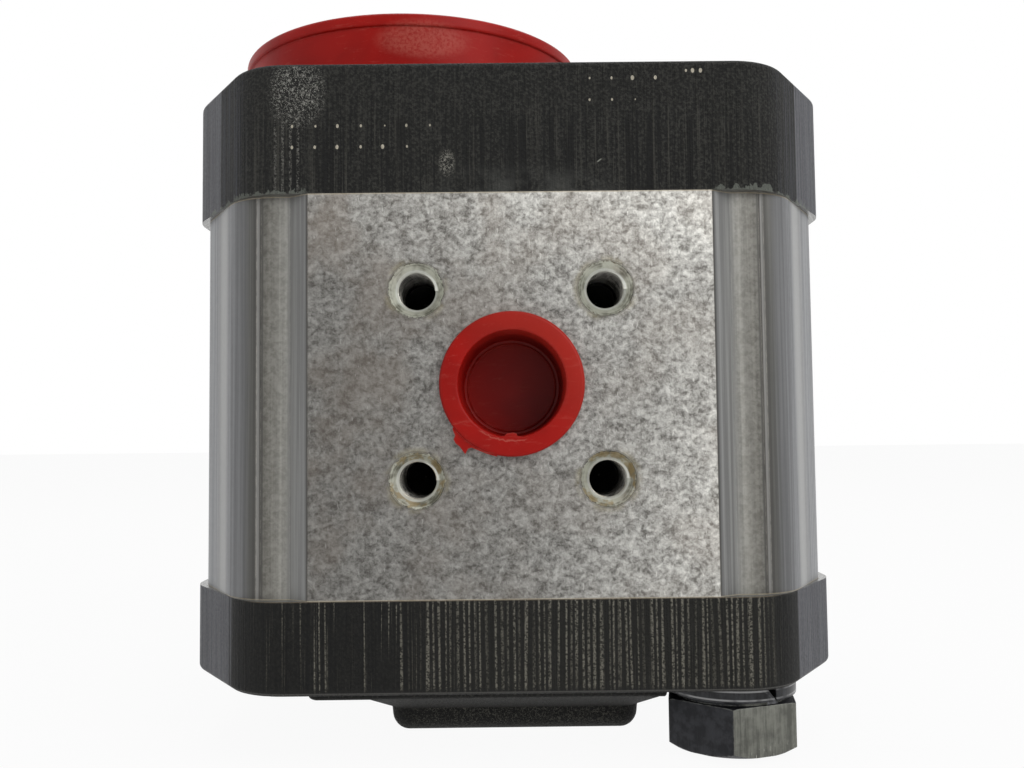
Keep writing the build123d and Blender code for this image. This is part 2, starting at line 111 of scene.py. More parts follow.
def selectAll():
    # everything in the active piece, in edit mode
    bpy.ops.object.mode_set(mode='EDIT')
    bpy.ops.mesh.select_all(action='SELECT')


def leaveEdit():
    bpy.ops.object.mode_set(mode='OBJECT')


def closeUp():
    # turns the faces outwards and leaves edit mode
    selectAll()
    bpy.ops.mesh.normals_make_consistent(inside=False)
    leaveEdit()


def placeAt(x, y, z=0.0):
    return Matrix.Translation(Vector((x, y, z)) * mm)


def drawProfile(points):
    # one vertex, extruded from point to point in the XZ plane; a third value rounds that corner
    clearSelection()
    bpy.ops.mesh.primitive_plane_add(size=mm)
    piece = bpy.context.object
    bpy.ops.object.mode_set(mode='EDIT')
    bpy.ops.mesh.select_mode(type='VERT')
    selectAll()
    bpy.ops.mesh.merge(type='CENTER')
    places = [Vector((point[0] * mm, 0, point[1] * mm)) for point in points]
    bpy.ops.transform.translate(value=places[0])
    for here, there in zip(places, places[1:]):
        bpy.ops.mesh.extrude_region_move(TRANSFORM_OT_translate={"value": there - here})
    for point, place in zip(points, places):
        if len(point) > 2:
            selectVertices(piece, lambda co, place=place: (co - place).length < touching)
            bpy.ops.mesh.bevel(offset=point[2] * mm, segments=4, affect='VERTICES')
    return piece


def spinProfile(points, steps=96):
    # a profile of (radius, height) turned once around Z; every shape drawn so is closed
    piece = drawProfile(points)
    selectAll()
    bpy.ops.mesh.spin(steps=steps, angle=2 * math.pi, center=(0, 0, 0), axis=(0, 0, 1))
    selectAll()
    bpy.ops.mesh.remove_doubles(threshold=touching)
    closeUp()
    return piece


def applyModifier(piece, kind, **settings):
    pickOnly(piece)
    modifier = piece.modifiers.new(kind.lower(), kind)
    for key, value in settings.items():
        setattr(modifier, key, value)
    bpy.ops.object.modifier_apply(modifier=modifier.name)


def breakEdges(piece, shape, segments):
    # rounds the edges that are sharper than the shape's angle in degrees
    applyModifier(piece, 'BEVEL', width=shape["edge"] * mm, segments=segments, limit_method='ANGLE',
                  angle_limit=math.radians(shape["sharp"]))


def finishPiece(piece, name, material, body, replaced=(), place=Matrix.Identity(4)):
    # puts a piece where it belongs, with its place in its mesh, gives it its material, hangs it under its
    # body's empty and hides the parts it replaces
    pickOnly(piece)
    piece.matrix_world = place @ piece.matrix_world
    bpy.ops.object.transform_apply(location=True, rotation=True, scale=True)
    bpy.ops.object.shade_smooth_by_angle(angle=math.radians(smoothAngle))
    piece.name = name
    piece.data.name = name
    piece.data.materials.clear()
    piece.data.materials.append(material)
    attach(piece, body)
    if replaced:
        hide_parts(*replaced)


def joinPieces(pieces):
    clearSelection()
    for piece in pieces:
        piece.select_set(True)
    bpy.context.view_layer.objects.active = pieces[0]
    bpy.ops.object.join()
    return bpy.context.object


def copyPiece(piece):
    twin = piece.copy()
    twin.data = piece.data.copy()
    bpy.context.scene.collection.objects.link(twin)
    return twin


# Node helpers
def feed(socket, value):
    # links the socket, or sets its plain value
    if isinstance(value, bpy.types.NodeSocket):
        socket.id_data.links.new(value, socket)
    else:
        socket.default_value = value


def addNode(tree, kind, inputs=None, **settings):
    node = tree.nodes.new("ShaderNode" + kind)
    for key, value in settings.items():
        setattr(node, key, value)
    for key, value in (inputs or {}).items():
        feed(node.inputs[key], value)
    return node


def treeOf(*values):
    return next(value.id_data for value in values if isinstance(value, bpy.types.NodeSocket))


def calc(operation, first, second=0.0):
    return addNode(treeOf(first, second), "Math", {0: first, 1: second}, operation=operation).outputs[0]


def calcVector(operation, first, second):
    tree = treeOf(first, second)
    return addNode(tree, "VectorMath", {0: first, 1: second}, operation=operation).outputs[0]


def minus(first, second):
    return calc('SUBTRACT', first, second)


def absolute(value):
    return calc('ABSOLUTE', value)


def combined(operation, values):
    result = values[0]
    for value in values[1:]:
        result = calc(operation, result, value)
    return result


def times(*values):
    return combined('MULTIPLY', values)


def plus(*values):
    return combined('ADD', values)


def most(*values):
    return combined('MAXIMUM', values)


def distance(first, second):
    return calc('SQRT', plus(times(first, first), times(second, second)))


def spread(value, low, high, start=0.0, end=1.0, smooth=True):
    # maps low..high to start..end, and holds it there outside
    kind = 'SMOOTHSTEP' if smooth else 'LINEAR'
    inputs = {"Value": value, "From Min": low, "From Max": high, "To Min": start, "To Max": end}
    return addNode(treeOf(value), "MapRange", inputs, interpolation_type=kind).outputs["Result"]


def mixColours(factor, first, second, blend='MIX'):
    tree = treeOf(factor, first, second)
    node = addNode(tree, "Mix", {0: factor}, data_type='RGBA', blend_type=blend, clamp_factor=True)
    for socket, colour in ((6, first), (7, second)):
        feed(node.inputs[socket], colour if isinstance(colour, bpy.types.NodeSocket) else (*colour, 1))
    return node.outputs[2]


def tint(base, colour, *masks):
    return mixColours(times(*masks), base, colour)


def shaded(colour, factor):
    grey = addNode(treeOf(factor), "CombineColor", {0: factor, 1: factor, 2: factor}).outputs[0]
    return mixColours(1.0, colour, grey, 'MULTIPLY')


def mixValues(factor, first, second):
    tree = treeOf(factor, first, second)
    return addNode(tree, "Mix", {0: factor, 2: first, 3: second}, data_type='FLOAT').outputs[0]


def noise(place, scale, detail=3.0, rough=0.5, twist=0.0):
    inputs = {"Vector": place, "Scale": scale, "Detail": detail, "Roughness": rough, "Distortion": twist}
    return addNode(treeOf(place), "TexNoise", inputs).outputs["Fac"]


def stretched(place, x, y, z):
    return calcVector('MULTIPLY', place, (x, y, z))


def placeInMm(tree):
    coordinates = addNode(tree, "TexCoord").outputs["Object"]
    return addNode(tree, "VectorMath", {0: coordinates, "Scale": 1 / mm}, operation='SCALE').outputs[0]


def leaningNoise(place, lean, x, z, detail, rough):
    # noise drawn out along a line that leans from the vertical by so many degrees
    tilt = {"Vector": place, "Rotation": (0, math.radians(lean), 0), "Scale": (x, 1, z)}
    return noise(addNode(treeOf(place), "Mapping", tilt).outputs[0], 1.0, detail, rough)


def parts(vector):
    return addNode(treeOf(vector), "SeparateXYZ", {0: vector}).outputs[:]


def nearLevel(value, level, reach):
    return spread(absolute(minus(value, level)), reach, reach * 0.4)


def between(value, low, high, soft=0.3):
    rising = spread(value, low - soft, low + soft)
    return times(rising, spread(value, high + soft, high - soft))


def bump(height, strength, distance, normal=None):
    inputs = {"Height": height, "Strength": strength, "Distance": distance}
    if normal is not None:
        inputs["Normal"] = normal
    return addNode(treeOf(height), "Bump", inputs).outputs[0]


def newMaterial(name):
    material = bpy.data.materials.new(name)
    material.use_nodes = True
    return material, material.node_tree, material.node_tree.nodes["Principled BSDF"]


def millimetreMaterial(name):
    material, tree, shader = newMaterial(name)
    return material, shader, placeInMm(tree)


def plug(shader, **values):
    # links or sets the shader's own sockets
    for key, value in values.items():
        feed(shader.inputs[key.replace("_", " ")], value)


def newGroup(name, inputs, outputs):
    # an input without a value is a vector; the others, and all outputs, are floats
    tree = bpy.data.node_groups.new(name, "ShaderNodeTree")
    for key, value in inputs.items():
        kind = "NodeSocketVector" if value is None else "NodeSocketFloat"
        socket = tree.interface.new_socket(key, in_out='INPUT', socket_type=kind)
        if value is not None:
            socket.default_value = value
    for key in outputs:
        tree.interface.new_socket(key, in_out='OUTPUT', socket_type="NodeSocketFloat")
    return tree, tree.nodes.new("NodeGroupInput").outputs, tree.nodes.new("NodeGroupOutput").inputs


def useGroup(group, **inputs):
    return addNode(treeOf(*inputs.values()), "Group", inputs, node_tree=group).outputs


# Shared effects
def makeEdgeWear():
    # white along convex edges, broken up by noise
    tree, given, result = newGroup("edgeWear", {"Place": None, "Reach": 0.0004, "Breakup": 1.5}, ("Mask",))
    rounded = addNode(tree, "Bevel", {"Radius": given["Reach"]}, samples=4).outputs[0]
    flat = addNode(tree, "NewGeometry").outputs["Normal"]
    facing = addNode(tree, "VectorMath", {0: rounded, 1: flat}, operation='DOT_PRODUCT').outputs["Value"]
    edge = spread(facing, 0.995, 0.86)
    patches = spread(noise(given["Place"], given["Breakup"], 4, 0.6), 0.35, 0.6)
    feed(result["Mask"], times(edge, patches))
    return tree


def makeStreaks():
    # fine lines along Z, as a drawn, sawn or broached face shows
    inputs = {"Place": None, "Fineness": 2.0, "Run": 0.04}
    tree, given, result = newGroup("streaks", inputs, ("Fine", "Coarse"))
    fineness = given["Fineness"]
    sides = addNode(tree, "CombineXYZ", {0: fineness, 1: fineness, 2: given["Run"]}).outputs[0]
    place = calcVector('MULTIPLY', given["Place"], sides)
    feed(result["Fine"], noise(place, 1.0, 3, 0.65))
    feed(result["Coarse"], noise(place, 0.31, 2, 0.5))
    return tree


def makeGrain():
    # a crumbly surface of soft lumps
    tree, given, result = newGroup("grain", {"Place": None, "Size": 0.5}, ("Lumps",))
    scale = calc('DIVIDE', 1.0, given["Size"])
    feed(result["Lumps"], noise(given["Place"], scale, 5, 0.6))
    return tree


def makeHoleRings():
    # distance from the nearest of four holes on a square around a port, seen along Y
    tree, given, result = newGroup("holeRings", {"Place": None, "Centre": None, "Step": 12.4}, ("Distance",))
    x, _, z = parts(calcVector('SUBTRACT', given["Place"], given["Centre"]))
    sideways = minus(absolute(x), given["Step"])
    upwards = minus(absolute(z), given["Step"])
    feed(result["Distance"], distance(sideways, upwards))
    return tree


edgeWear = makeEdgeWear()
streaks = makeStreaks()
grain = makeGrain()
holeRings = makeHoleRings()
print("shared effects made")


def wornEdges(base, place, colour, share, breakup, reach=0.0003):
    return tint(base, colour, useGroup(edgeWear, Place=place, Reach=reach, Breakup=breakup)["Mask"], share)


def ovalAway(x, z, across, level, halfWidth, halfHeight):
    # the square of the distance from an oval's middle, 1 on its rim
    aside = calc('DIVIDE', minus(x, across), halfWidth)
    upward = calc('DIVIDE', minus(z, level), halfHeight)
    return plus(times(aside, aside), times(upward, upward))


# Sizes that the scene takes from the frame
def boxOf(node):
    low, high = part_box(node)
    return low / mm, high / mm


bodyLow, bodyHigh = boxOf("pump_body")
flangeLow = boxOf("front_flange")[0]
coverLow, coverHigh = boxOf("rear_cover")
pressureLow, pressureHigh = boxOf("pressure_port_plug")
capLow, capHigh = boxOf("pilot_cap")
boltLow, boltHigh = boxOf("through_bolts")
washerLow, washerHigh = boxOf("spring_washers")
middleX = (bodyLow.x + bodyHigh.x) / 2
coverBottom = washerHigh.z
portLevel = (pressureLow.z + pressureHigh.z) / 2
portCentre = (middleX, 0.0, portLevel)


def plasticMaterial(name, colour, pale, roughness, sheen=None, paintedLightAndTornEdge=None):
    # moulded plastic: soft flow marks, scuffs and handling scratches
    material, shader, place = millimetreMaterial(name)
    flow = noise(place, 0.12, 3, 0.5, 0.6)
    scuffs = spread(noise(stretched(place, 0.35, 0.35, 1.6), 1.0, 6, 0.7), 0.56, 0.72)
    specks = spread(noise(place, 3.5, 2, 0.5), 0.62, 0.8)
    base = mixColours(spread(flow, 0.3, 0.7), colour, [c * 0.78 for c in colour])
    base = tint(base, pale, scuffs, 0.22)
    base = tint(base, pale, specks, 0.1)
    base = wornEdges(base, place, pale, 0.3, 0.9)
    x, y, z = parts(place)
    infront = spread(y, 0.0, -5.0)
    if paintedLightAndTornEdge:
        # around the pressure port: painted light in orange to the upper right, painted shade deep down in the
        # cup, a pale torn edge below
        across, up = minus(x, middleX), minus(z, portLevel)
        lit = spread(plus(across, up), -4.0, 11.0, 0.0, 0.5)
        base = tint(base, paintedLightAndTornEdge["paintedLightOrange"], lit, infront)
        # painted shade: the cup darkens deep inside, more to the right
        paintedShadeDeep = times(spread(y, bodyLow.y + 1.5, bodyLow.y + 5.0), spread(across, -8.0, 7.0, 0.15, 0.75))
        base = tint(base, paintedLightAndTornEdge["paintedShadeDeep"], paintedShadeDeep, infront)
        ragged = plus(distance(across, up), times(noise(place, 1.4, 3, 0.7), 0.8))
        torn = times(nearLevel(ragged, paintedLightAndTornEdge["tornRadius"], 0.13), between(across, -4.2, 1.7),
                     spread(up, -5.5, -6.0), spread(y, bodyLow.y - 0.8, bodyLow.y - 1.2))
        base = tint(base, pale, torn, 0.4)
    if sheen:
        # a soft painted highlight on the side that faces the camera, broken up by specks
        away = ovalAway(x, z, sheen["across"], sheen["level"], sheen["halfWidth"], sheen["halfHeight"])
        specked = spread(noise(place, 2.2, 4, 0.7), 0.34, 0.62, 0.25, 1.0)
        base = tint(base, pale, spread(away, 1.3, 0.2), infront, specked, sheen["share"])
    rough = plus(times(scuffs, 0.18), roughness)
    normal = bump(noise(place, 6.0, 3, 0.6), 0.1, 0.0001)
    normal = bump(flow, 0.12, 0.0006, normal)
    plug(shader, Base_Color=base, Roughness=rough, Normal=normal, IOR=1.5, Specular_IOR_Level=0.14)
    return material


# where the painted highlight sits on the cap's side
capSheen = {"across": 3.7, "level": 9.0, "halfWidth": 7.0, "halfHeight": 2.9, "share": 0.42}   # mm
red, paleRed = (0.39, 0.0075, 0.0045), (0.6, 0.17, 0.13)
# the orange is painted light on the upper right and the deep colour is painted shade in the cup; the torn
# edge is real
plugPaintedLightAndTornEdge = {"paintedLightOrange": (0.46, 0.034, 0.021), "paintedShadeDeep": (0.05, 0.0008, 0.0006), "tornRadius": 7.75}
redPlastic = plasticMaterial("redPlastic", red, paleRed, 0.36, paintedLightAndTornEdge=plugPaintedLightAndTornEdge)
capPlastic = plasticMaterial("capRedPlastic", red, paleRed, 0.4, capSheen)


# Cast iron of the flange and the rear cover
flangeLook = {
    "dark": (0.005, 0.005, 0.0044), "light": (0.06, 0.058, 0.05), "leather": (0.036, 0.0355, 0.031),
    "fineness": 2.7, "ridgeLow": 0.53, "ridgeHigh": 0.66, "dots": 0.45, "lineTop": -7.0,
    "facetFrom": 40.3, "raggedFrom": 26.8, "raggedHeight": 0.62,
}
coverLook = {
    "dark": (0.004, 0.004, 0.0035), "light": (0.12, 0.115, 0.095), "leather": (0.013, 0.0125, 0.011),
    "fineness": 3.1, "ridgeLow": 0.6, "ridgeHigh": 0.7, "dots": 0.75, "lineTop": 50.0,
    "facetFrom": 37.8, "bossBelow": -85.0,
    "combPitch": 0.8, "comb": (0.2, 0.19, 0.157), "combReach": 29.5,
}
speckledPatch = {"across": -27.9, "level": -3.9, "halfWidth": 3.5, "halfHeight": 4.5}
speckledTail = {"from": -31.3, "to": -27.2, "pitch": 1.0}
smudge = {"across": -8.2, "level": -13.6, "halfWidth": 1.0, "halfHeight": 1.7}
sparkleRows = (   # level, first, last and pitch of each row of bright grains, from the body's middle
    (-8.5, -28.5, -10.4, 3.0), (-11.3, -28.5, -13.4, 3.0), (-2.4, 10.6, 19.9, 2.95), (-5.3, 10.6, 16.7, 2.95),
    (-1.5, 23.4, 25.6, 1.05),
)
scratches = ((11.8, -13.4, 0.9, 68.0),)   # across, level, length, turn


def makeSparkleRow():
    # bright grains in a row, each a little off its place
    inputs = {"Place": None, "Level": 0.0, "First": 0.0, "Last": 10.0, "Pitch": 3.0, "Radius": 0.15}
    tree, given, result = newGroup("sparkleRow", inputs, ("Mask",))
    x, _, z = parts(given["Place"])
    shifted = minus(x, given["First"])
    whole = calc('ROUND', calc('DIVIDE', shifted, given["Pitch"]))
    aside = minus(shifted, times(whole, given["Pitch"]))
    seed = {"W": plus(whole, given["Level"])}
    wander = addNode(tree, "TexWhiteNoise", seed, noise_dimensions='1D').outputs["Value"]
    aside = plus(aside, times(minus(wander, 0.5), 0.35))
    away = times(minus(z, given["Level"]), 0.7)
    radius = times(given["Radius"], plus(0.5, wander))
    dot = calc('LESS_THAN', distance(aside, away), radius)
    before = calc('GREATER_THAN', x, minus(given["First"], 0.5))
    after = calc('LESS_THAN', x, plus(given["Last"], 0.5))
    feed(result["Mask"], times(dot, before, after))
    return tree


sparkleRow = makeSparkleRow()


def centredInMm(place):
    # measured across from the body's middle
    return calcVector('SUBTRACT', place, (middleX, 0, 0))


def castBase(place, centred, look):
    # the skin that both castings share: dark, with drawn lines and crumbly grain
    x, _, z = parts(centred)
    off = absolute(x)
    lines = useGroup(streaks, Place=place, Fineness=look["fineness"], Run=0.03)
    lumps = useGroup(grain, Place=place, Size=0.36)["Lumps"]
    worm = noise(stretched(place, 3.4, 3.4, 2.6), 1.0, 2, 0.55, 1.6)
    ridge = spread(lines["Fine"], look["ridgeLow"], look["ridgeHigh"])
    furrow = spread(lines["Fine"], 0.47, 0.4)
    dotted = mixValues(look["dots"], 1.0, spread(worm, 0.46, 0.6))
    lower = spread(z, look["lineTop"] + 4.0, look["lineTop"] - 3.0, 0.25, 1.0)
    patchy = spread(noise(place, 0.1, 2, 0.5), 0.36, 0.6, 0.35, 1.0)
    leather = spread(lumps, 0.42, 0.66)
    base = mixColours(leather, look["dark"], look["leather"])
    base = tint(base, (0.003, 0.003, 0.003), furrow, lower, 0.8)
    base = tint(base, look["light"], ridge, dotted, lower, patchy)
    return x, off, z, lines, lumps, worm, base


def facetColour(lines, lumps):
    # the slanted corners and the sides are smoother and bluish, and painted lighter there as light falls on
    # them
    tone = plus(times(lines["Fine"], 0.65), times(lumps, 0.35))
    return mixColours(spread(tone, 0.38, 0.62), (0.04, 0.041, 0.047), (0.112, 0.114, 0.128))


def turnedMarks(place):
    # rings left by the lathe around the drive shaft's axis
    x, y, z = parts(place)
    turned = addNode(treeOf(place), "CombineXYZ", {0: distance(x, y), 1: 0.0, 2: times(z, 3.0)})
    return noise(turned.outputs[0], 5.0, 2, 0.5)


def smoothCorners(off, lines, start, wander):
    # 1 on the slanted corners and the sides; the border wanders by some millimetres
    edge = plus(off, times(minus(lines["Coarse"], 0.5), wander))
    return spread(edge, start - 0.25, start + 0.25)


def finishCast(shader, place, base, cut, smooth, lines, lumps):
    marks = turnedMarks(place)
    cutColour = mixColours(spread(marks, 0.35, 0.65), (0.19, 0.19, 0.18), (0.33, 0.33, 0.32))
    base = tint(base, cutColour, cut)
    base = wornEdges(base, place, (0.15, 0.145, 0.13), 0.3, 0.8, 0.0004)
    rough = minus(minus(0.66, times(cut, 0.26)), times(smooth, 0.16))
    height = plus(times(lines["Fine"], 1.1), times(lumps, 0.7))
    calm = most(times(cut, 0.92), times(smooth, 0.55))
    height = plus(times(height, minus(1.0, calm)), times(marks, cut, 0.1))
    normal = bump(height, 0.9, 0.0005)
    plug(shader, Base_Color=base, Roughness=rough, Normal=normal, Metallic=times(cut, 0.8),
         Specular_IOR_Level=0.22)


def facingParts(place):
    return parts(addNode(treeOf(place), "NewGeometry").outputs["Normal"])


def ovalPatch(x, z, worm, oval):
    # an oval whose rim breaks up into grains
    away = ovalAway(x, z, oval["across"], oval["level"], oval["halfWidth"], oval["halfHeight"])
    return spread(plus(away, times(worm, 1.2)), 2.2, 0.8)


def flangeMaterial(look):
    material, shader, place = millimetreMaterial("flangeIron")
    centred = centredInMm(place)
    _, facingY, facingZ = facingParts(place)
    x, off, z, lines, lumps, worm, base = castBase(place, centred, look)
    front = spread(facingY, -0.8, -0.95)
    # the speckled patch at the upper left, and the dotted lines that run down from it
    fineWorm = noise(place, 4.2, 2, 0.6, 1.4)
    below = spread(z, -6.5, -8.5)
    grooves = spread(noise(stretched(place, 1.25, 1.25, 0.02), 1.0, 2, 0.6), 0.44, 0.36)
    base = tint(base, (0.0025, 0.0025, 0.0023), grooves, below, front, 0.85)
    inPatch = ovalPatch(x, z, worm, speckledPatch)
    base = tint(base, (0.0055, 0.0055, 0.005), inPatch, front, 0.85)
    base = tint(base, (0.36, 0.355, 0.32), inPatch, spread(fineWorm, 0.52, 0.62), front, 0.95)
    tail = between(x, speckledTail["from"], speckledTail["to"], 0.6)
    tailWaves = spread(calc('SINE', times(x, 2 * math.pi / speckledTail["pitch"])), 0.0, 0.9)
    base = tint(base, (0.2, 0.195, 0.175), tail, tailWaves, spread(fineWorm, 0.48, 0.58), below, front, 0.8)
    # a smudge of pale grains lower down
    smudged = ovalPatch(x, z, worm, smudge)
    base = tint(base, (0.32, 0.31, 0.27), smudged, spread(fineWorm, 0.5, 0.6), front, 0.8)
    # bright grains in rows
    sparkle = most(*[
        useGroup(sparkleRow, Place=centred, Level=level, First=first, Last=last, Pitch=pitch)["Mask"]
        for level, first, last, pitch in sparkleRows
    ])
    base = tint(base, (0.62, 0.57, 0.46), sparkle, front, 0.9)
    for across, level, length, turn in scratches:
        base = tint(base, (0.42, 0.43, 0.37), scratchMask(x, z, across, level, length, turn), front, 0.7)
    # a painted reflection near the lower edge, right of the middle: a pale patch
    paintedReflection = times(between(x, -8.0, 12.5, 5.0), spread(z, -13.0, -17.2), front)
    paintedReflection = times(paintedReflection, spread(noise(place, 0.3, 3, 0.6), 0.34, 0.62))
    base = tint(base, (0.12, 0.122, 0.112), paintedReflection, 0.38)
    # smooth corners and sides, painted lighter as light falls on them
    smooth = smoothCorners(off, lines, look["facetFrom"], 3.0)
    base = tint(base, facetColour(lines, lumps), smooth)
    nearCorner = times(between(off, 35.5, look["facetFrom"], 1.2), minus(1.0, smooth))
    blueLine = spread(lines["Fine"], 0.5, 0.62)
    base = tint(base, (0.045, 0.048, 0.062), nearCorner, blueLine, 0.8)
    # broken-out lower edge at the corners, where bare metal shows
    edge = minus(z, flangeLow.z)
    chip = noise(stretched(place, 0.55, 0.55, 0.3), 1.0, 4, 0.7)
    ragged = calc('LESS_THAN', edge, times(spread(chip, 0.38, 0.66), look["raggedHeight"] * 1.6))
    ragged = times(ragged, between(off, look["raggedFrom"], 43.0, 0.8))
    base = tint(base, (0.135, 0.145, 0.125), ragged, 0.9)
    cut = most(spread(absolute(facingZ), 0.97, 0.995), spread(z, 0.02, 0.1))
    finishCast(shader, place, base, cut, smooth, lines, lumps)
    return material


def scratchMask(x, z, across, level, length, turn):
    # a thin line of a given length and turn on the front
    angle = math.radians(turn)
    right = minus(x, across)
    up = minus(z, level)
    along = plus(times(right, math.sin(angle)), times(up, math.cos(angle)))
    beside = minus(times(right, math.cos(angle)), times(up, math.sin(angle)))
    wander = times(calc('SINE', times(along, 2.1)), 0.12)
    thin = spread(absolute(plus(beside, wander)), 0.11, 0.04)
    return times(thin, spread(absolute(along), length / 2, length / 2 - 0.3))


def combedLines(place, x, pitch, dense):
    # grainy lines about a pitch apart; where dense is 0 only the strongest show
    wander = noise(stretched(place, 0.45, 0.45, 0.012), 1.0, 2, 0.5)
    turned = times(x, 2 * math.pi / pitch)
    waves = calc('SINE', plus(turned, times(wander, 17.0)))
    strength = noise(stretched(place, 1.1, 1.1, 0.02), 1.0, 1, 0.5)
    chosen = mixValues(dense, spread(strength, 0.54, 0.6), spread(strength, 0.36, 0.6, 0.25, 1.0))
    lines = mixValues(dense, spread(waves, 0.35, 0.95), spread(waves, -0.1, 0.9))
    grains = spread(noise(place, 4.2, 3, 0.7), 0.4, 0.6, 0.05, 1.35)
    return times(lines, chosen, grains)


def coverMaterial(look):
    material, shader, place = millimetreMaterial("coverIron")
    centred = centredInMm(place)
    _, facingY, facingZ = facingParts(place)
    x, off, z, lines, lumps, _, base = castBase(place, centred, look)
    front = spread(absolute(facingY), 0.8, 0.95)
    # a broach left more lines to the right
    dense = spread(x, -17.0, -5.0)
    combed = times(combedLines(place, x, look["combPitch"], dense), front,
                   between(x, -look["combReach"], look["combReach"] + 3.0, 2.5))
    base = tint(base, (0.016, 0.0155, 0.013), dense, front, 0.5)
    base = tint(base, look["comb"], combed)
    # the lines stop short of the lower edge
    lowerEdge = spread(z, coverBottom + 1.2, coverBottom + 0.5)
    base = tint(base, (0.012, 0.012, 0.011), lowerEdge, 0.85)
    # the boss and the back are rough sand-cast skin
    rough = spread(z, look["bossBelow"] + 0.5, look["bossBelow"] - 0.5)
    grains = spread(noise(place, 2.4, 2, 0.6, 1.8), 0.5, 0.62)
    tone = spread(absolute(minus(x, 0.5)), 17.5, 13.0, 0.25, 1.0)
    skin = mixColours(times(grains, tone), (0.0065, 0.0063, 0.0056), (0.15, 0.146, 0.126))
    base = tint(base, skin, rough)
    back = spread(facingZ, -0.5, -0.8)
    backSkin = mixColours(spread(lumps, 0.4, 0.66), (0.012, 0.012, 0.011), (0.05, 0.048, 0.043))
    base = tint(base, backSkin, back)
    # smooth corners and sides, painted lighter as light falls on them
    smooth = times(smoothCorners(off, lines, look["facetFrom"], 2.0), minus(1.0, back))
    base = tint(base, facetColour(lines, lumps), smooth)
    # the lower edge catches the light as a thin line, and the upper one is warm
    lowerLine = times(nearLevel(z, coverBottom + 0.25, 0.3), minus(1.0, back))
    base = tint(base, (0.17, 0.165, 0.155), lowerLine, 0.6)
    upperLine = times(nearLevel(z, coverHigh.z, 0.16), front)
    base = tint(base, (0.26, 0.21, 0.15), upperLine, 0.6)
    cut = spread(facingZ, 0.97, 0.995)
    finishCast(shader, place, base, cut, smooth, lines, lumps)
    return material


# Extruded aluminium of the body
bodyLook = {
    "padHalfWidth": 26.5, "grooveAt": 33.4, "pressureStep": 12.374, "suctionStep": 14.142,
    "boreEdge": 2.62, "mouth": 3.6,
    "padDark": (0.092, 0.088, 0.08), "padLight": (0.45, 0.445, 0.42),
}
bodyBands = (   # distance from the body's middle in mm, and the colour that begins there
    (26.5, (0.06, 0.057, 0.052)), (26.9, (0.205, 0.206, 0.203)), (29.2, (0.19, 0.19, 0.182)),
    (29.8, (0.3, 0.295, 0.27)), (31.0, (0.215, 0.208, 0.184)), (32.2, (0.088, 0.083, 0.07)),
    (33.4, (0.105, 0.102, 0.092)), (34.6, (0.1, 0.099, 0.093)), (35.6, (0.145, 0.146, 0.148)),
    (38.5, (0.195, 0.198, 0.205)), (40.9, (0.13, 0.132, 0.136)), (41.3, (0.24, 0.243, 0.25)),
    (44.0, (0.285, 0.29, 0.3)),
)


def colourBands(value, bands):
    # a ramp whose stops are given in millimetres
    low, high = bands[0][0], bands[-1][0]
    node = addNode(treeOf(value), "ValToRGB", {0: spread(value, low, high, smooth=False)})
    stops = node.color_ramp.elements
    while len(stops) < len(bands):
        stops.new(0.5)
    for stop, (at, colour) in zip(stops, bands):
        stop.position = (at - low) / (high - low)
        stop.color = (*colour, 1)
    return node.outputs[0]


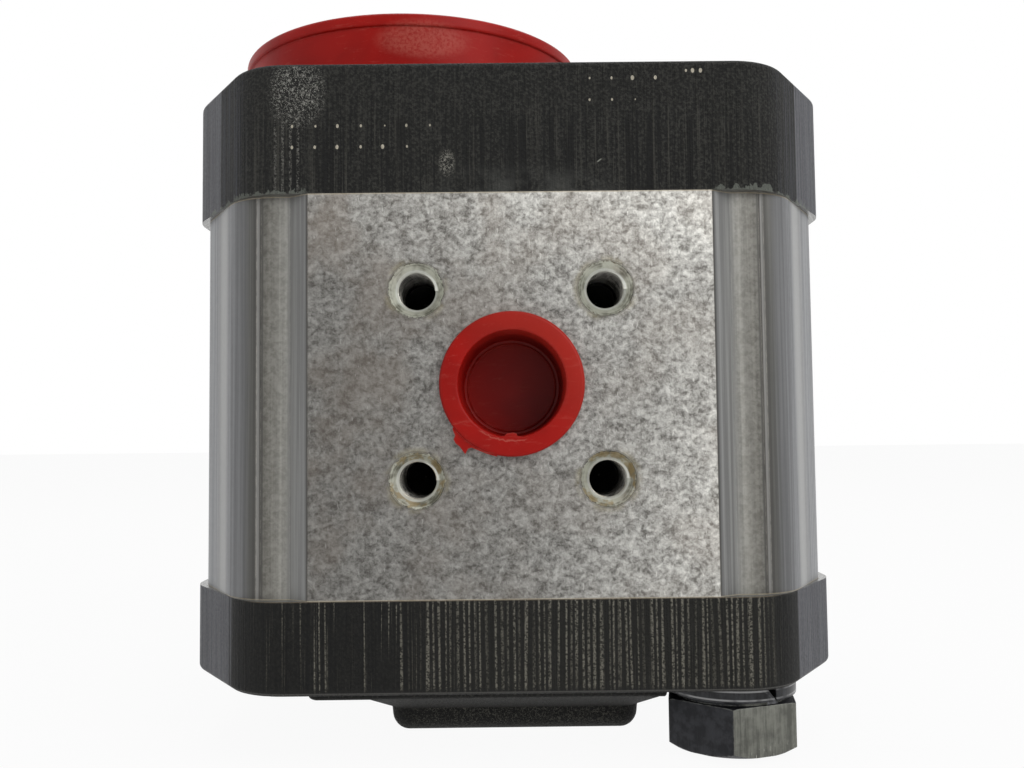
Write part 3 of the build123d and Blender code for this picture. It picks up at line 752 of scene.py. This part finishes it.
def bodyMaterial(name, look):
    material, shader, place = millimetreMaterial(name)
    centred = centredInMm(place)
    x, y, z = parts(centred)
    _, facingY, facingZ = facingParts(place)
    off = absolute(x)
    lines = useGroup(streaks, Place=place, Fineness=1.8, Run=0.02)
    # pad: etched mottle of flecks in warm grey
    mottle = noise(stretched(place, 1.0, 1.0, 1.25), 0.8, 4, 0.62, 0.6)
    fleck = noise(place, 2.2, 3, 0.62, 0.4)
    stain = noise(place, 0.1, 3, 0.55)
    tone = plus(times(mottle, 0.56), times(fleck, 0.44))
    padColour = mixColours(spread(tone, 0.375, 0.635, smooth=False), look["padDark"], look["padLight"])
    stained = times(spread(stain, 0.4, 0.64, 0.08, 0.5), spread(x, -27.0, 12.0, 1.0, 0.35))
    padColour = tint(padColour, (0.235, 0.195, 0.16), stained)
    # short pale flecks that run down to the right
    dash = spread(leaningNoise(place, 38, 2.6, 0.8, 2, 0.5), 0.66, 0.72)
    padColour = tint(padColour, (0.62, 0.61, 0.58), dash, 0.4)
    # painted light: brighter to the right and along the top, and towards the lower right
    above = minus(z, portLevel)
    paintedLightGradient = spread(plus(x, times(above, 0.9)), -30.0, 45.0, 0.82, 1.18)
    across = spread(x, -27.0, 27.0, 0.76, 1.24, smooth=False)
    lowRight = spread(minus(x, times(above, 0.8)), 15.0, 45.0, 1.0, 1.38)
    paintedLightGradient = times(paintedLightGradient, across, lowRight, spread(above, 8.0, 26.0, 1.0, 1.38))
    padColour = shaded(padColour, paintedLightGradient)
    # extruded sides: bluish grey in long bands
    wander = times(minus(lines["Coarse"], 0.5), 0.5)
    sideColour = colourBands(plus(off, wander), bodyBands)
    sideColour = shaded(sideColour, spread(lines["Fine"], 0.36, 0.66, 0.8, 1.22))
    mottledBand = between(off, 29.4, 32.8, 0.4)
    mottledSide = mixColours(spread(tone, 0.36, 0.64), (0.1, 0.097, 0.086), (0.33, 0.325, 0.3))
    sideColour = tint(sideColour, mottledSide, mottledBand, 0.35)
    nearGroove = absolute(minus(off, look["grooveAt"]))
    twinLine = nearLevel(nearGroove, 0.5, 0.3)
    sideColour = tint(sideColour, (0.052, 0.05, 0.046), twinLine, 0.65)
    sideColour = tint(sideColour, (0.235, 0.23, 0.22), spread(nearGroove, 0.34, 0.05), 0.8)
    onPad = times(spread(off, look["padHalfWidth"] + 0.05, look["padHalfWidth"] - 0.1),
                  spread(absolute(facingY), 0.75, 0.9))
    base = mixColours(onPad, sideColour, padColour)
    # tan lines where the castings meet the pad
    seam = most(nearLevel(z, bodyHigh.z, 0.2), nearLevel(z, bodyLow.z, 0.16))
    base = tint(base, (0.36, 0.3, 0.2), seam, 0.6)
    # countersinks and threads around the tapped holes: bare cut metal with an oily tint
    ringsFront = useGroup(holeRings, Place=place, Centre=portCentre, Step=look["pressureStep"])["Distance"]
    ringsBack = useGroup(holeRings, Place=place, Centre=portCentre, Step=look["suctionStep"])["Distance"]
    front = spread(y, 0.5, -0.5)
    near = mixValues(front, ringsBack, ringsFront)
    into = minus(bodyHigh.y, absolute(y))
    frayed = plus(near, times(minus(fleck, 0.5), 0.9))
    cutRing = spread(frayed, look["mouth"] + 0.06, look["mouth"] - 0.12)
    oilPatch = spread(noise(place, 0.3, 3, 0.6), 0.42, 0.6)
    oil = times(spread(near, look["mouth"] + 1.1, look["mouth"]), oilPatch, 0.5)
    base = tint(base, (0.26, 0.23, 0.13), oil)
    darkRim = times(nearLevel(near, look["mouth"] + 0.12, 0.16), 0.55)
    base = tint(base, (0.09, 0.085, 0.07), darkRim)
    turnMarks = noise(addNode(treeOf(near), "CombineXYZ", {0: near, 1: 0.0, 2: y}).outputs[0], 4.0, 2, 0.5)
    shine = plus(times(turnMarks, 0.3), times(noise(place, 0.42, 3, 0.6), 0.7))
    cutColour = mixColours(spread(shine, 0.4, 0.6), (0.125, 0.12, 0.09), (0.54, 0.545, 0.46))
    amber = times(spread(noise(place, 0.45, 3, 0.6), 0.47, 0.58), spread(z, portLevel, portLevel - 5.0), 0.65)
    cutColour = tint(cutColour, (0.27, 0.185, 0.06), amber)
    boreEdge = nearLevel(near, look["boreEdge"], 0.22)
    cutColour = tint(cutColour, (0.74, 0.75, 0.7), boreEdge, 0.75)
    base = tint(base, cutColour, cutRing)
    # painted shade: the bores darken deep inside
    paintedShadeInBore = times(spread(near, 3.1, 2.9), spread(into, 1.3, 2.6))
    base = tint(base, (0.022, 0.021, 0.018), paintedShadeInBore)
    # the bores and the ends are machined
    ends = spread(absolute(facingZ), 0.9, 0.98)
    inside = times(spread(into, 6.0, 8.0), spread(off, 42.0, 40.0))
    machined = most(ends, times(inside, spread(near, 2.9, 3.3), 0.9))
    base = tint(base, (0.4, 0.4, 0.395), machined)
    base = wornEdges(base, place, (0.55, 0.52, 0.46), 0.5, 0.7)
    rough = mixValues(cutRing, plus(0.36, times(tone, 0.3)), 0.3)
    height = plus(times(tone, onPad), times(lines["Fine"], 0.6))
    plug(shader, Base_Color=base, Roughness=rough, Normal=bump(height, 0.45, 0.0002), Metallic=0.5)
    return material


def steelMaterial(name, low, high, roughness, metallic, scratches, wear=0.55, highlightLevels=()):
    # cut or blackened steel: turning lines, blotches and scratches
    material, shader, place = millimetreMaterial(name)
    blotch = noise(place, 0.5, 4, 0.6)
    lines = useGroup(streaks, Place=place, Fineness=3.0, Run=0.25)
    tone = plus(times(blotch, 0.6), times(lines["Fine"], 0.4))
    base = mixColours(spread(tone, 0.36, 0.64), low, high)
    scratch = spread(noise(stretched(place, 0.7, 0.7, 5.0), 1.0, 5, 0.75), 0.62, 0.7)
    bright = [min(1.0, c * 2.2 + 0.05) for c in high]
    base = tint(base, bright, scratch, scratches)
    base = wornEdges(base, place, bright, wear, 1.2, 0.00035)
    # painted highlights: pale lines at the given levels, where the edges catch the light, broken up by noise
    for level in highlightLevels:
        highlightBreakup = spread(noise(place, 0.22, 3, 0.6), 0.36, 0.6)
        paintedHighlightRim = nearLevel(parts(place)[2], level, 0.16)
        base = tint(base, (0.38, 0.38, 0.38), paintedHighlightRim, highlightBreakup, 0.7)
    rough = plus(roughness, times(tone, 0.22))
    plug(shader, Base_Color=base, Roughness=rough, Normal=bump(tone, 0.25, 0.00015), Metallic=metallic)
    return material


# painted light: the head's flat that faces this way is painted pale grey, as light falls on it; nick is the
# colour of real scratches on that flat
paintedLightFlatAndNicks = {"facing": -70.0, "colour": (0.15, 0.152, 0.132), "nick": (0.55, 0.55, 0.5)}


def boltMaterial(name):
    material, shader, place = millimetreMaterial(name)
    facingX, facingY, _ = facingParts(place)
    level = parts(place)[2]
    angle = math.radians(paintedLightFlatAndNicks["facing"])
    towards = plus(times(facingX, math.cos(angle)), times(facingY, math.sin(angle)))
    # painted light: the flat facing the given way is pale, the other flats stay black
    paintedLightFace = spread(towards, 0.9, 0.97)
    lines = useGroup(streaks, Place=place, Fineness=2.2, Run=0.12)
    blotch = noise(place, 0.7, 4, 0.6)
    black = mixColours(spread(blotch, 0.38, 0.64), (0.012, 0.0125, 0.015), (0.034, 0.035, 0.04))
    shade = spread(plus(times(lines["Fine"], 0.6), times(blotch, 0.4)), 0.36, 0.64)
    pale = mixColours(shade, [c * 0.62 for c in paintedLightFlatAndNicks["colour"]], [c * 1.35 for c in paintedLightFlatAndNicks["colour"]])
    base = mixColours(paintedLightFace, black, pale)
    scratch = spread(leaningNoise(place, -28, 5.0, 0.7, 3, 0.6), 0.62, 0.68)
    lowerPart = spread(level, boltLow.z + 2.2, boltLow.z + 0.6)
    base = tint(base, paintedLightFlatAndNicks["nick"], scratch, lowerPart, paintedLightFace, 0.8)
    base = wornEdges(base, place, (0.3, 0.31, 0.28), 0.7, 1.6)
    base = tint(base, (0.1, 0.1, 0.1), spread(level, boltHigh.z - 15.0, boltHigh.z - 14.0), 0.5)
    rough = plus(0.34, times(blotch, 0.2))
    plug(shader, Base_Color=base, Roughness=rough, Normal=bump(shade, 0.3, 0.00015), Metallic=0.35,
         Specular_IOR_Level=0.3)
    return material


def rubberMaterial(name):
    material, shader, place = millimetreMaterial(name)
    lumps = useGroup(grain, Place=place, Size=0.25)["Lumps"]
    dusty = spread(noise(place, 0.5, 4, 0.6), 0.45, 0.7)
    base = mixColours(dusty, (0.012, 0.012, 0.012), (0.04, 0.039, 0.036))
    rough = plus(0.5, times(lumps, 0.25))
    plug(shader, Base_Color=base, Roughness=rough, Normal=bump(lumps, 0.3, 0.0001))
    return material


# the two levels given last are painted highlight lines on the washers' edges
washerSteel = steelMaterial("washerSteel", (0.006, 0.006, 0.007), (0.03, 0.031, 0.034), 0.22, 0.5, 0.2, 1.0,
                            (washerLow.z + 0.42, washerHigh.z - 0.75))
boltSteel = boltMaterial("blackBoltSteel")
finishes = {
    "block_aluminium": steelMaterial("blockAluminium", (0.4, 0.4, 0.39), (0.62, 0.62, 0.61), 0.26, 0.9, 0.15),
    "steel": steelMaterial("groundSteel", (0.34, 0.34, 0.35), (0.56, 0.56, 0.57), 0.2, 1.0, 0.1),
    "dark_steel": steelMaterial("darkSteel", (0.012, 0.012, 0.013), (0.045, 0.046, 0.047), 0.26, 0.6, 0.3),
    "bush_bronze": steelMaterial("bushBronze", (0.36, 0.23, 0.11), (0.55, 0.38, 0.2), 0.24, 1.0, 0.12),
    "seal_rubber": rubberMaterial("sealRubber"),
    "white_plastic": plasticMaterial("whitePlastic", (0.72, 0.7, 0.64), (0.82, 0.8, 0.76), 0.45),
    "red_plastic": redPlastic,
    "aluminium": bodyMaterial("extrudedAluminium", bodyLook),
}
castIron = {"front_flange": flangeMaterial(flangeLook), "rear_cover": coverMaterial(coverLook)}


def dressNodes():
    for part in record["subparts"]:
        name, slot = part["node"], part["material_slot"]
        material = castIron[name] if slot == "cast_iron" else finishes[slot]
        mesh = nodes[name].data
        if not mesh.materials:
            mesh.materials.append(material)
        for place in nodes[name].material_slots:
            place.material = material


dressNodes()
print("materials made:", len(bpy.data.materials))


# Port plugs: a brim on the pad and a thin cup in the bore
plugShape = {
    "brimThickness": 1.5, "brimRound": 0.45, "mouthRound": 0.35, "wall": 0.5,
    "wallClearance": 0.08, "taper": 0.25, "depth": 10.5, "floor": 1.0, "brimOverlap": 1.9,
    "gateRadius": 1.3, "gateSlope": 0.35, "gateHeight": 0.05,
    "beadInset": 0.75, "beadHeight": 0.09, "beadWidth": 0.28, "innerRound": 0.3, "footRound": 0.15,
    "sprueLift": 0.12, "sprueDrop": 0.4, "flashDepth": 0.6, "flashDrop": 0.03,
}
# outlines in mm from the plug's axis, seen from outside: a torn sprue, and flash across the mouth's edge
tornSprue = (
    (-7.4, -5.1), (-7.7, -5.73), (-7.36, -6.6), (-7.56, -7.12), (-7.28, -7.62), (-6.77, -8.02),
    (-6.1, -8.98), (-5.72, -8.3), (-5.27, -8.17), (-4.8, -8.36), (-4.1, -8.66), (-3.3, -8.98),
    (-2.00, -9.36), (-1.9, -8.9), (-3.2, -8.4), (-5.00, -7.48), (-6.4, -6.33),
)
mouthFlash = (
    (-3.6, -6.6), (-3.05, -6.42), (-2.55, -6.66), (-1.9, -6.78), (-1.1, -6.74), (-0.72, -6.42),
    (0.05, -6.3), (0.5, -6.42), (0.62, -6.72), (1.4, -6.86), (1.45, -7.5), (0.0, -7.7),
    (-1.8, -7.5), (-3.4, -7.00),
)


def ruggedPlate(outline, low, high):
    # a flat outline given as (x, y), from one height to another
    piece = drawProfile(outline)
    selectAll()
    bpy.ops.mesh.edge_face_add()
    leaveEdit()
    laidFlat = Matrix(((1, 0, 0, 0), (0, 0, 1, 0), (0, 1, 0, 0), (0, 0, 0, 1)))
    piece.data.transform(placeAt(0, 0, low) @ laidFlat)
    selectAll()
    bpy.ops.mesh.extrude_region_move(TRANSFORM_OT_translate={"value": (0, 0, (high - low) * mm)})
    closeUp()
    return piece


def addTo(piece, extra):
    applyModifier(piece, 'BOOLEAN', operation='UNION', object=extra, solver='EXACT')
    bpy.data.objects.remove(extra)


def onPort(side, across=0.0, up=0.0):
    # the way from the world's origin to a port's face; side is -1 at the front and 1 at the back
    turned = Matrix.Rotation(math.radians(-90 * side), 4, 'X')
    face = bodyLow.y if side < 0 else bodyHigh.y
    return placeAt(middleX + across, face, portLevel + up) @ turned


def makePlug(name, node, side, body):
    low, high = boxOf(node)
    shape = plugShape
    brim = (high.x - low.x) / 2
    outer = brim - shape["brimOverlap"] - shape["wallClearance"]
    inner = outer - shape["wall"]
    face = shape["brimThickness"]
    bottom = face - shape["depth"]
    end = bottom - shape["floor"]
    gate = shape["gateRadius"]
    bead = inner - shape["taper"] - shape["beadInset"]
    piece = spinProfile([
        (0.0, bottom + shape["gateHeight"]),
        (gate, bottom + shape["gateHeight"]),
        (gate + shape["gateSlope"], bottom),
        (bead, bottom),
        (bead + shape["beadWidth"] / 2, bottom + shape["beadHeight"]),
        (bead + shape["beadWidth"], bottom),
        (inner - shape["taper"], bottom, shape["innerRound"]),
        (inner, face, shape["mouthRound"]),
        (brim, face, shape["brimRound"]),
        (brim, 0.0, shape["footRound"]),
        (outer, 0.0),
        (outer - shape["taper"], end, shape["innerRound"]),
        (0.0, end),
    ])
    if side < 0:
        addTo(piece, ruggedPlate(tornSprue, shape["sprueLift"], face - shape["sprueDrop"]))
        addTo(piece, ruggedPlate(mouthFlash, face - shape["flashDepth"], face - shape["flashDrop"]))
    finishPiece(piece, name, redPlastic, body, (node,), onPort(side))


makePlug("pressurePlug", "pressure_port_plug", -1, "pressure_plug")
makePlug("suctionPlug", "suction_port_plug", 1, "suction_plug")
print("port plugs made")


# Register cap
capShape = {
    "wall": 1.3, "top": 1.8, "brimHeight": 1.9, "brimOverhang": 0.45, "edge": 0.6,
    "dishRim": 8.2, "dishDepth": 0.6, "dishSlope": 0.5, "dishRound": 0.3,
    "gateRadius": 1.5, "gateSlope": 0.2, "gateHeight": 0.4, "gateRound": 0.12,
    "innerRound": 0.4, "rimRound": 0.25, "footRound": 0.15, "brimRound": 0.35, "steps": 144,
}


def makeCap():
    shape = capShape
    brim = (capHigh.x - capLow.x) / 2
    outer = brim - shape["brimOverhang"]
    inner = outer - shape["wall"]
    top, bottom = capHigh.z, capLow.z
    foot = top - shape["brimHeight"]
    dish = brim - shape["dishRim"]
    dishLevel = top - shape["dishDepth"]
    gate = shape["gateRadius"]
    piece = spinProfile([
        (0.0, top - shape["top"]),
        (inner, top - shape["top"], shape["innerRound"]),
        (inner, bottom, shape["rimRound"]),
        (outer, bottom, shape["rimRound"]),
        (outer, foot, shape["footRound"]),
        (brim, foot, shape["brimRound"]),
        (brim, top, shape["edge"]),
        (dish, top, shape["brimRound"]),
        (dish - shape["dishSlope"], dishLevel, shape["dishRound"]),
        (gate, dishLevel, shape["footRound"]),
        (gate - shape["gateSlope"], dishLevel + shape["gateHeight"], shape["gateRound"]),
        (0.0, dishLevel + shape["gateHeight"]),
    ], shape["steps"])
    finishPiece(piece, "registerCap", capPlastic, "register_cap", ("pilot_cap",))


makeCap()
print("register cap made")


# Hexagon bolts
boltShape = {
    "flats": 16.8, "chamfer": 1.2, "chamferRun": 0.8, "turn": 50.0, "edge": 0.12, "sharp": 28.0,
    "faceHeight": 0.5, "faceRadius": 7.9, "faceOverlap": 1.0, "footDrop": 0.15, "footInset": 0.35,
    "radius": 5.0, "threadPitch": 1.5, "threadDepth": 0.55, "threadTurns": 9, "tip": 0.9, "steps": 48,
}
threadValley, threadCrest = 0.45, 0.95   # shares of one turn at which the root and the crest are reached
boltReach = 8.9    # from a bolt's axis to its washer's rim
boltPlaces = (
    (washerHigh.x - boltReach, washerLow.y + boltReach), (washerLow.x + boltReach, washerHigh.y - boltReach),
)


def makeBolt():
    shape = boltShape
    corner = shape["flats"] / math.sqrt(3)
    headBottom = boltLow.z
    seat = washerLow.z
    under = seat - shape["faceHeight"]
    clearSelection()
    bpy.ops.mesh.primitive_cylinder_add(vertices=6, radius=corner * mm, depth=(under - headBottom) * mm,
                                        location=(0, 0, (headBottom + under) / 2 * mm),
                                        rotation=(0, 0, math.radians(shape["turn"])))
    head = bpy.context.object
    bpy.ops.object.transform_apply(location=True, rotation=True, scale=True)
    # a turned shape cuts the head's corners; it reaches a little past the flats and the upper end
    past, above = corner + 0.05, under + 0.01
    lens = spinProfile([
        (0.0, headBottom), (corner - shape["chamfer"], headBottom), (past, headBottom + shape["chamferRun"]),
        (past, under - shape["footDrop"]), (corner - shape["footInset"], above), (0.0, above),
    ])
    applyModifier(head, 'BOOLEAN', operation='INTERSECT', object=lens, solver='EXACT')
    bpy.data.objects.remove(lens)
    breakEdges(head, shape, 2)
    tip = boltHigh.z
    threadStart = tip - shape["tip"] - shape["threadPitch"] * shape["threadTurns"]
    root = shape["radius"] - shape["threadDepth"]
    faceFrom = under - shape["faceOverlap"]
    shank = [(0.0, faceFrom), (shape["faceRadius"], faceFrom), (shape["faceRadius"], seat, shape["edge"]),
             (shape["radius"], seat), (shape["radius"], threadStart)]
    for turn in range(shape["threadTurns"]):
        level = threadStart + turn * shape["threadPitch"]
        shank.append((root, level + threadValley * shape["threadPitch"]))
        shank.append((shape["radius"], level + threadCrest * shape["threadPitch"]))
    shank += [(root, tip), (0.0, tip)]
    return joinPieces([head, spinProfile(shank, shape["steps"])])


def placePair(first, names, material, node):
    # one of two like pieces at each end of the diagonal
    for piece, (x, y), name in zip((first, copyPiece(first)), boltPlaces, names):
        finishPiece(piece, name, material, "casing", (node,), placeAt(x, y))


placePair(makeBolt(), ("nearBolt", "farBolt"), boltSteel, "through_bolts")
print("bolts made")


# Spring washers: a square section that climbs a little on its way round
washerShape = {
    "outer": 8.9, "inner": 5.3, "climb": 0.2, "gapAngle": 2.5, "gapLean": 15.0, "gapAt": -62.0, "steps": 56,
    "edge": 0.3, "sharp": 50.0,
}


def atAngle(angle):
    # true for the vertices of one section of a ring
    way = Vector((math.cos(angle), math.sin(angle)))
    return lambda co: (co.xy.normalized() - way).length < 0.02


def turnAroundZ(degrees):
    bpy.ops.transform.rotate(value=math.radians(degrees), orient_axis='Z', center_override=(0, 0, 0))


def makeWasher():
    shape = washerShape
    thickness = washerHigh.z - washerLow.z - shape["climb"]
    midLevel = (washerLow.z + thickness / 2) * mm
    clearSelection()
    bpy.ops.mesh.primitive_plane_add(size=mm)
    piece = bpy.context.object
    selectAll()
    bpy.ops.transform.resize(value=(shape["outer"] - shape["inner"], thickness, 1))
    bpy.ops.transform.rotate(value=math.radians(90), orient_axis='X', center_override=(0, 0, 0))
    bpy.ops.transform.translate(value=((shape["outer"] + shape["inner"]) / 2 * mm, 0, midLevel))
    turn = math.radians(360 - shape["gapAngle"])
    bpy.ops.mesh.spin(steps=shape["steps"], angle=turn, center=(0, 0, 0), axis=(0, 0, 1))
    closeUp()
    for step in range(1, shape["steps"] + 1):
        share = step / shape["steps"]
        selectVertices(piece, atAngle(turn * share))
        bpy.ops.transform.translate(value=(0, 0, shape["climb"] * mm * share))
    # both ends lean the same way, as the slanting cut does
    for angle in (0.0, turn):
        here = atAngle(angle)
        selectVertices(piece, lambda co, here=here: here(co) and co.z > midLevel)
        turnAroundZ(shape["gapLean"])
    selectAll()
    turnAroundZ(-shape["gapAt"])
    leaveEdit()
    breakEdges(piece, shape, 3)
    return piece


placePair(makeWasher(), ("nearWasher", "farWasher"), washerSteel, "spring_washers")
print("spring washers made")


# Threads in the tapped port holes
threadShape = {
    "crest": 2.42, "root": 3.0, "halfWidth": 0.33, "pitch": 1.0, "turns": 10, "start": 1.0, "steps": 36,
}


def makeThread():
    # a closed three-sided section wound into the hole, from its mouth inwards
    shape = threadShape
    root, start, half = shape["root"], -shape["start"], shape["halfWidth"]
    piece = drawProfile([(root, start + half), (shape["crest"], start), (root, start - half)])
    selectAll()
    bpy.ops.mesh.edge_face_add()
    bpy.ops.mesh.delete(type='ONLY_FACE')
    leaveEdit()
    applyModifier(piece, 'SCREW', axis='Z', angle=2 * math.pi, screw_offset=-shape["pitch"] * mm,
                  iterations=shape["turns"], steps=shape["steps"], render_steps=shape["steps"])
    selectAll()
    bpy.ops.mesh.remove_doubles(threshold=touching)
    bpy.ops.mesh.fill_holes(sides=3)
    closeUp()
    return piece


def makeThreads():
    first = makeThread()
    for side, name in ((-1, "pressure"), (1, "suction")):
        step = bodyLook[name + "Step"]
        threads = []
        for across in (-step, step):
            for up in (-step, step):
                twin = copyPiece(first)
                twin.matrix_world = onPort(side, across, up)
                threads.append(twin)
        finishPiece(joinPieces(threads), name + "BoltThreads", finishes["aluminium"], "casing")
    bpy.data.objects.remove(first)


makeThreads()
print("threads made")


# Light: one large soft lamp from the upper right front, a weaker one from the left, and an even surround
lamps = {
    "key": {"place": (0.4, -0.5, 0.3), "size": 0.5, "power": 2.2},
    "fill": {"place": (-0.5, -0.5, 0.1), "size": 0.5, "power": 0.3},
    "top": {"place": (0.05, 0.1, 0.6), "size": 0.6, "power": 1.3},
}
surround = {"strength": 0.3, "backdrop": 1.0}
floorLook = {"size": 8, "colour": (0.86, 0.86, 0.86, 1), "roughness": 0.9, "glowShare": 0.94}   # metres


def makeLamps():
    aim = Vector((middleX, 0, portLevel)) * mm
    for name, lamp in lamps.items():
        data = bpy.data.lights.new(name, 'AREA')
        data.energy = lamp["power"]
        data.size = lamp["size"]
        holder = bpy.data.objects.new(name, data)
        bpy.context.scene.collection.objects.link(holder)
        place = Vector(lamp["place"])
        holder.location = place
        holder.rotation_mode = 'QUATERNION'
        holder.rotation_quaternion = (aim - place).to_track_quat('-Z', 'Y')


def seenDirectly(tree):
    # 1 where the camera, a reflection or clear glass looks at the background
    rays = addNode(tree, "LightPath").outputs
    return most(rays["Is Camera Ray"], rays["Is Glossy Ray"], rays["Is Transmission Ray"])


def makeSurround():
    world = bpy.data.worlds.new("paleRoom")
    bpy.context.scene.world = world
    world.use_nodes = True
    tree = world.node_tree
    ambient = tree.nodes["Background"]
    ambient.inputs["Color"].default_value = (1, 1, 1, 1)
    ambient.inputs["Strength"].default_value = surround["strength"]
    white = addNode(tree, "Background", {"Color": (1, 1, 1, 1), "Strength": surround["backdrop"]})
    mixed = addNode(tree, "MixShader", {0: seenDirectly(tree), 1: ambient.outputs[0], 2: white.outputs[0]})
    feed(tree.nodes["World Output"].inputs["Surface"], mixed.outputs[0])


def makeFloor():
    # pale, and white where it is seen directly
    clearSelection()
    bpy.ops.mesh.primitive_plane_add(size=floorLook["size"], location=(middleX * mm, 0, coverLow.z * mm))
    floor = bpy.context.object
    floor.name = "floor"
    material, tree, shader = newMaterial("paleFloor")
    plug(shader, Base_Color=floorLook["colour"], Roughness=floorLook["roughness"])
    glow = addNode(tree, "Emission", {"Color": (1, 1, 1, 1), "Strength": 1.0})
    share = times(seenDirectly(tree), floorLook["glowShare"])
    mixed = addNode(tree, "MixShader", {0: share, 1: shader.outputs[0], 2: glow.outputs[0]})
    feed(tree.nodes["Material Output"].inputs["Surface"], mixed.outputs[0])
    floor.data.materials.append(material)


makeLamps()
makeSurround()
makeFloor()
print("light and floor made")
